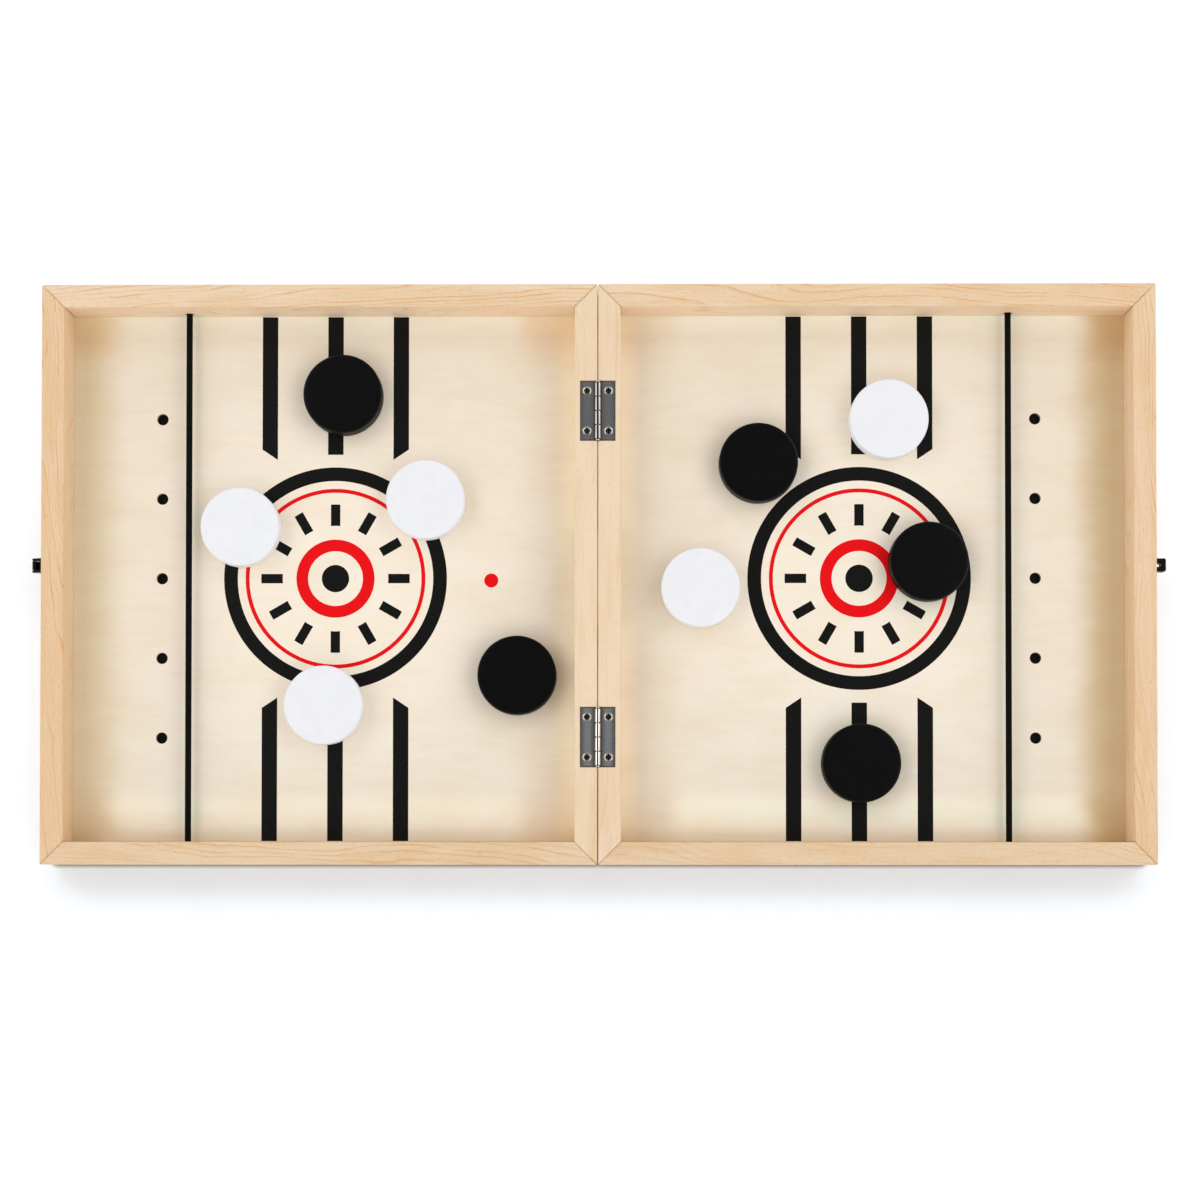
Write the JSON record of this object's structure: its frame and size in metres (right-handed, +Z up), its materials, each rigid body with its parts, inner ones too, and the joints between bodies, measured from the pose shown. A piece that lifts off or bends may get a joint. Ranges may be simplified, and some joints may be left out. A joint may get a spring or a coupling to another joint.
{
  "type": "sling puck game",
  "caption": "Folding wooden board of two hinged trays with a sling cord across each, a gate under the centre rails, loose pucks and an end latch.",
  "frame": {"origin": "middle of the open board at table level", "axes": "+Z up, +X along the open board to the right tray, +Y to the far long rails"},
  "size_m": [0.5708, 0.292, 0.0316],
  "materials": {
    "pine_rail": "satin clear lacquer",
    "plywood_floor": "satin clear lacquer, printed",
    "elastic_cord": "matte woven cover",
    "hinge_steel": "brushed",
    "bright_steel": "bright plated",
    "black_latch": "black, half gloss",
    "black_puck": "matte paint",
    "white_puck": "matte paint"
  },
  "bodies": {
    "left_tray": {"left_far_rail": "pine_rail", "left_near_rail": "pine_rail", "left_end_rail": "pine_rail", "left_centre_rail": "pine_rail", "left_floor": "plywood_floor", "left_sling_cord": "elastic_cord", "far_hinge_left_leaf": "hinge_steel", "near_hinge_left_leaf": "hinge_steel", "far_hinge_pin": "bright_steel", "near_hinge_pin": "bright_steel", "far_hinge_left_screw_far": "bright_steel", "far_hinge_left_screw_near": "bright_steel", "near_hinge_left_screw_far": "bright_steel", "near_hinge_left_screw_near": "bright_steel", "latch_base": "black_latch", "latch_pin": "black_latch", "latch_screw_upper": "black_latch", "latch_screw_lower": "black_latch"},
    "right_tray": {"right_far_rail": "pine_rail", "right_near_rail": "pine_rail", "right_end_rail": "pine_rail", "right_centre_rail": "pine_rail", "right_floor": "plywood_floor", "right_sling_cord": "elastic_cord", "far_hinge_right_leaf": "hinge_steel", "near_hinge_right_leaf": "hinge_steel", "far_hinge_right_screw_far": "bright_steel", "far_hinge_right_screw_near": "bright_steel", "near_hinge_right_screw_far": "bright_steel", "near_hinge_right_screw_near": "bright_steel", "latch_keeper": "black_latch", "keeper_nail_far": "black_latch", "keeper_nail_near": "black_latch"},
    "latch_arm": {"latch_arm": "black_latch"},
    "black_puck_1": {"black_puck_1": "black_puck"},
    "black_puck_2": {"black_puck_2": "black_puck"},
    "white_puck_1": {"white_puck_1": "white_puck"},
    "white_puck_2": {"white_puck_2": "white_puck"},
    "white_puck_3": {"white_puck_3": "white_puck"},
    "black_puck_3": {"black_puck_3": "black_puck"},
    "black_puck_4": {"black_puck_4": "black_puck"},
    "black_puck_5": {"black_puck_5": "black_puck"},
    "white_puck_4": {"white_puck_4": "white_puck"},
    "white_puck_5": {"white_puck_5": "white_puck"}
  },
  "joints": [
    {"name": "board_fold", "type": "hinge", "parent": "left_tray", "child": "right_tray", "pos_m": [0, 0, 0.03015], "axis": [0, -1, 0], "range_deg": [0, 180]},
    {"name": "latch_swing", "type": "hinge", "parent": "left_tray", "child": "latch_arm", "pos_m": [-0.28415, 0.0047, 0.025], "axis": [0, 1, 0], "range_deg": [0, 180]},
    {"name": "black_puck_1_slide", "type": "slide", "parent": "left_tray", "child": "black_puck_1", "axis": [1, 0, 0], "range_m": [-0.056, 0.097]},
    {"name": "black_puck_2_slide", "type": "slide", "parent": "left_tray", "child": "black_puck_2", "axis": [1, 0, 0], "range_m": [-0.028, 0.009]},
    {"name": "white_puck_1_slide", "type": "slide", "parent": "left_tray", "child": "white_puck_1", "axis": [1, 0, 0], "range_m": [-0.004, 0.026]},
    {"name": "white_puck_2_slide", "type": "slide", "parent": "left_tray", "child": "white_puck_2", "axis": [1, 0, 0], "range_m": [-0.026, 0.055]},
    {"name": "white_puck_3_slide", "type": "slide", "parent": "left_tray", "child": "white_puck_3", "axis": [1, 0, 0], "range_m": [-0.046, 0.028]},
    {"name": "black_puck_3_slide", "type": "slide", "parent": "right_tray", "child": "black_puck_3", "axis": [1, 0, 0], "range_m": [-0.049, 0.014]},
    {"name": "black_puck_4_slide", "type": "slide", "parent": "right_tray", "child": "black_puck_4", "axis": [1, 0, 0], "range_m": [-0.036, 0.018]},
    {"name": "black_puck_5_slide", "type": "slide", "parent": "right_tray", "child": "black_puck_5", "axis": [1, 0, 0], "range_m": [-0.1, 0.052]},
    {"name": "white_puck_4_slide", "type": "slide", "parent": "right_tray", "child": "white_puck_4", "axis": [1, 0, 0], "range_m": [-0.014, 0.038]},
    {"name": "white_puck_5_slide", "type": "slide", "parent": "right_tray", "child": "white_puck_5", "axis": [1, 0, 0], "range_m": [-0.02, 0.036]}
  ]
}
